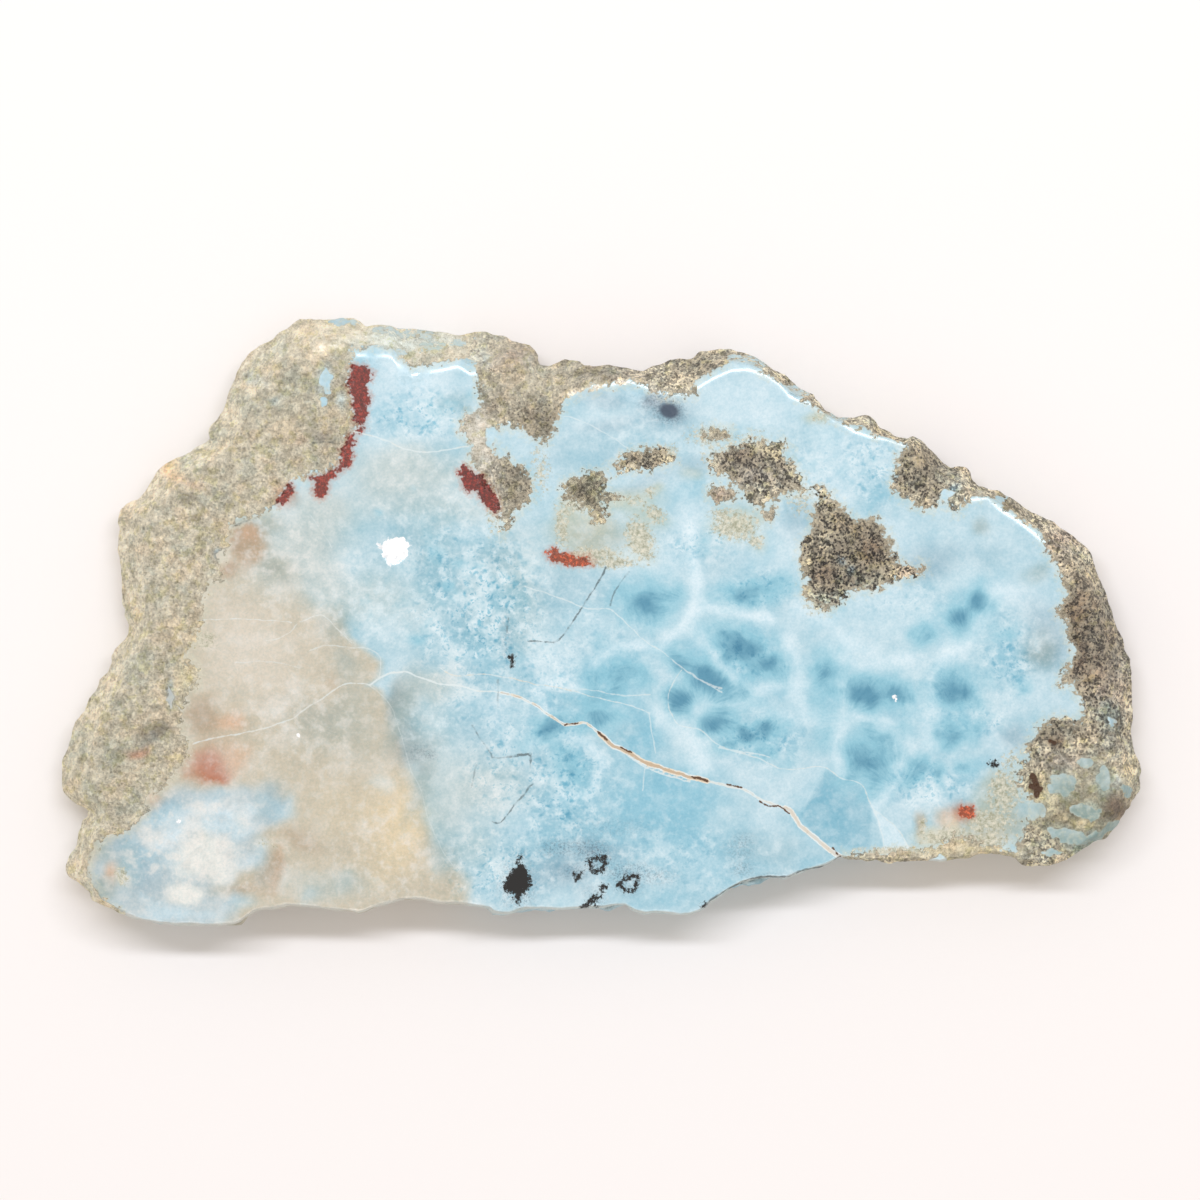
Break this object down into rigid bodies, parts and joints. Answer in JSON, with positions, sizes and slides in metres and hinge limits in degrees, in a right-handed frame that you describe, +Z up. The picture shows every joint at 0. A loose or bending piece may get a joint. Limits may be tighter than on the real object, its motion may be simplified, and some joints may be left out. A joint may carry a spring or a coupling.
{
  "type": "larimar slab",
  "caption": "Flat irregular slab of blue larimar in brown matrix rock, with a polished face, rough natural sides and a flat sawn back to rest on.",
  "frame": {"origin": "under the middle of the outline, on the plane of the sawn back, which is the surface that the slab rests on", "axes": "+X along the slab's length, +Y from the straighter undercut edge to the humped edge, +Z up through the polished face"},
  "size_m": [0.152, 0.0853, 0.012],
  "materials": {
    "stone": "polished face, rough natural sides, sawn back"
  },
  "bodies": {
    "root": {"larimar_slab": "stone"}
  },
  "joints": []
}
